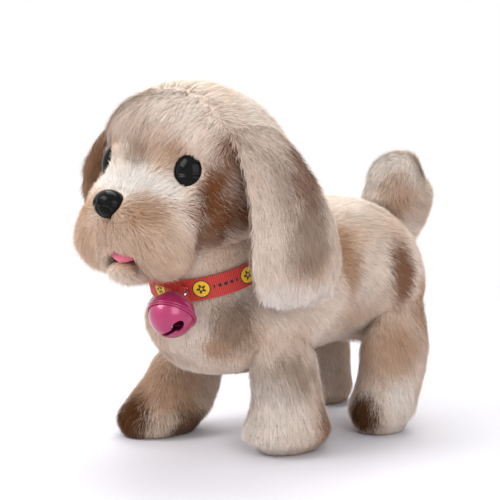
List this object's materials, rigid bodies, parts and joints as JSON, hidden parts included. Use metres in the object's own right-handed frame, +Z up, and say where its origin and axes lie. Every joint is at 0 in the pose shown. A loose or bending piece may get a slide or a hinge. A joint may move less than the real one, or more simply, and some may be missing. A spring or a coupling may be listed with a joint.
{
  "type": "interactive plush pet",
  "caption": "Plush puppy with floppy ears, ribbon collar and jingle bell, whose legs walk on a geared crank drive inside a battery powered chassis.",
  "frame": {"origin": "middle of the bounding box on the floor plane the paws stand on", "axes": "+Z up, the puppy faces -Y, its left side is +X"},
  "size_m": [0.126, 0.2177, 0.1797],
  "materials": {
    "cream_plush": "long pile plush",
    "tan_plush": "long pile plush",
    "red_ribbon": "ribbed ribbon",
    "pink_felt": "matt felt",
    "black_abs": "polished",
    "pink_lacquered_steel": "gloss lacquer",
    "bright_steel": "bright",
    "grey_abs": "moulded",
    "white_acetal": "moulded",
    "green_board": "coated",
    "cell_jacket": "printed jacket"
  },
  "bodies": {
    "chassis": {"chassis_left": "grey_abs", "chassis_right": "grey_abs", "battery_door": "grey_abs", "battery_door_screw": "bright_steel", "battery_left": "cell_jacket", "battery_right": "cell_jacket", "gear_motor": "grey_abs", "circuit_board": "green_board", "speaker": "black_abs", "front_hip_shaft": "bright_steel", "rear_hip_shaft": "bright_steel", "neck_pin": "bright_steel", "tail_pin": "bright_steel", "torso_plush": "cream_plush", "collar": "red_ribbon"},
    "foreleg_left": {"foreleg_left_frame": "white_acetal", "foreleg_left_plush": "cream_plush"},
    "foreleg_right": {"foreleg_right_frame": "white_acetal", "foreleg_right_plush": "cream_plush"},
    "hindleg_left": {"hindleg_left_frame": "white_acetal", "hindleg_left_plush": "cream_plush"},
    "hindleg_right": {"hindleg_right_frame": "white_acetal", "hindleg_right_plush": "cream_plush"},
    "head": {"skull_left": "grey_abs", "skull_right": "grey_abs", "head_plush": "cream_plush", "eye_left": "black_abs", "eye_right": "black_abs", "eye_washer_left": "white_acetal", "eye_washer_right": "white_acetal", "nose": "black_abs", "jaw_pin": "bright_steel"},
    "jaw": {"jaw_frame": "white_acetal", "jaw_plush": "cream_plush", "tongue": "pink_felt"},
    "ear_left": {"ear_left": "tan_plush"},
    "ear_right": {"ear_right": "tan_plush"},
    "tail": {"tail_lever": "white_acetal", "tail_plush": "cream_plush"},
    "front_crank": {"front_crank_shaft": "bright_steel", "front_crank_gear": "white_acetal", "front_crank_left": "white_acetal", "front_crank_right": "white_acetal"},
    "rear_crank": {"rear_crank_shaft": "bright_steel", "rear_crank_gear": "white_acetal", "rear_crank_left": "white_acetal", "rear_crank_right": "white_acetal"},
    "idler_front": {"idler_front": "white_acetal"},
    "idler_middle": {"idler_middle": "white_acetal"},
    "idler_rear": {"idler_rear": "white_acetal"},
    "motor_pinion": {"motor_pinion": "white_acetal"},
    "bell": {"bell_cap": "pink_lacquered_steel", "bell_cup": "pink_lacquered_steel", "bell_clapper": "bright_steel", "bell_loop": "bright_steel"},
    "switch": {"switch_knob": "black_abs"}
  },
  "joints": [
    {"name": "foreleg_right_swing", "type": "hinge", "parent": "chassis", "child": "foreleg_right", "pos_m": [-0.02625, -0.031, 0.06], "axis": [1, 0, 0], "range_deg": [0, 26]},
    {"name": "foreleg_left_swing", "type": "hinge", "parent": "chassis", "child": "foreleg_left", "pos_m": [0.02625, -0.031, 0.06], "axis": [1, 0, 0], "range_deg": [-26, 0]},
    {"name": "hindleg_left_swing", "type": "hinge", "parent": "chassis", "child": "hindleg_left", "pos_m": [0.02625, 0.057, 0.06], "axis": [1, 0, 0], "range_deg": [0, 26]},
    {"name": "hindleg_right_swing", "type": "hinge", "parent": "chassis", "child": "hindleg_right", "pos_m": [-0.02625, 0.057, 0.06], "axis": [1, 0, 0], "range_deg": [-26, 0]},
    {"name": "head_nod", "type": "hinge", "parent": "chassis", "child": "head", "pos_m": [0, -0.047, 0.098], "axis": [-1, 0, 0], "range_deg": [0, 12]},
    {"name": "jaw_close", "type": "hinge", "parent": "head", "child": "jaw", "pos_m": [0, -0.068, 0.104], "axis": [-1, 0, 0], "range_deg": [0, 6]},
    {"name": "ear_left_lift", "type": "hinge", "parent": "head", "child": "ear_left", "pos_m": [0.035, -0.052, 0.164], "axis": [0, -1, 0], "range_deg": [0, 45]},
    {"name": "ear_right_lift", "type": "hinge", "parent": "head", "child": "ear_right", "pos_m": [-0.035, -0.052, 0.164], "axis": [0, 1, 0], "range_deg": [0, 45]},
    {"name": "tail_wag", "type": "hinge", "parent": "chassis", "child": "tail", "pos_m": [0, 0.0749, 0.08], "axis": [0, 0, 1], "range_deg": [-20, 20]},
    {"name": "bell_swing", "type": "hinge", "parent": "chassis", "child": "bell", "pos_m": [0.01462, -0.07196, 0.08096], "axis": [-0.891, -0.454, 0], "range_deg": [0, 15]},
    {"name": "front_crank_spin", "type": "hinge", "parent": "chassis", "child": "front_crank", "pos_m": [0, -0.031, 0.074], "axis": [1, 0, 0], "continuous": true},
    {"name": "idler_front_spin", "type": "hinge", "parent": "chassis", "child": "idler_front", "pos_m": [0, -0.009, 0.074], "axis": [1, 0, 0], "continuous": true},
    {"name": "idler_middle_spin", "type": "hinge", "parent": "chassis", "child": "idler_middle", "pos_m": [0, 0.013, 0.074], "axis": [1, 0, 0], "continuous": true},
    {"name": "idler_rear_spin", "type": "hinge", "parent": "chassis", "child": "idler_rear", "pos_m": [0, 0.035, 0.074], "axis": [1, 0, 0], "continuous": true},
    {"name": "rear_crank_spin", "type": "hinge", "parent": "chassis", "child": "rear_crank", "pos_m": [0, 0.057, 0.074], "axis": [1, 0, 0], "continuous": true},
    {"name": "motor_pinion_spin", "type": "hinge", "parent": "chassis", "child": "motor_pinion", "pos_m": [0, 0.021, 0.08786], "axis": [1, 0, 0], "continuous": true},
    {"name": "switch_slide", "type": "slide", "parent": "chassis", "child": "switch", "axis": [0, 1, 0], "range_m": [0, 0.003]}
  ],
  "couplings": [
    {"joint": "foreleg_left_swing", "follows": "foreleg_right_swing", "ratio": -1},
    {"joint": "hindleg_left_swing", "follows": "foreleg_right_swing", "ratio": 1},
    {"joint": "hindleg_right_swing", "follows": "foreleg_right_swing", "ratio": -1},
    {"joint": "idler_front_spin", "follows": "front_crank_spin", "ratio": -1},
    {"joint": "idler_middle_spin", "follows": "front_crank_spin", "ratio": 1},
    {"joint": "idler_rear_spin", "follows": "front_crank_spin", "ratio": -1},
    {"joint": "rear_crank_spin", "follows": "front_crank_spin", "ratio": 1},
    {"joint": "motor_pinion_spin", "follows": "front_crank_spin", "ratio": -2.2}
  ]
}
